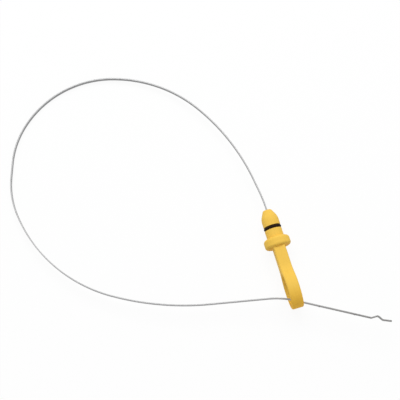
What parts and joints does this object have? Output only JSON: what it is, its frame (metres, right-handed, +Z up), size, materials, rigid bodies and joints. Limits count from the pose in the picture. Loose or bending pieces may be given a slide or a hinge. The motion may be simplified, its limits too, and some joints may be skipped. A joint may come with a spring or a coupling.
{
  "type": "engine oil dipstick",
  "caption": "Engine oil dipstick: yellow moulded handle with a finger ring and a plug with a black seal, and a flat steel gauge blade bowed round and threaded through the ring.",
  "frame": {"origin": "centre of the footprint's bounding box, on the floor the part lies on", "axes": "+X to the blade's tail, +Y from the finger ring towards the plug's nose, +Z up from the floor"},
  "size_m": [0.2674, 0.1798, 0.0279],
  "materials": {
    "yellow_plastic": "satin moulded",
    "black_rubber": "smooth",
    "spring_steel": "rolled strip"
  },
  "bodies": {
    "root": {"handle": "yellow_plastic", "seal_ring": "black_rubber", "gauge_blade": "spring_steel"}
  },
  "joints": []
}
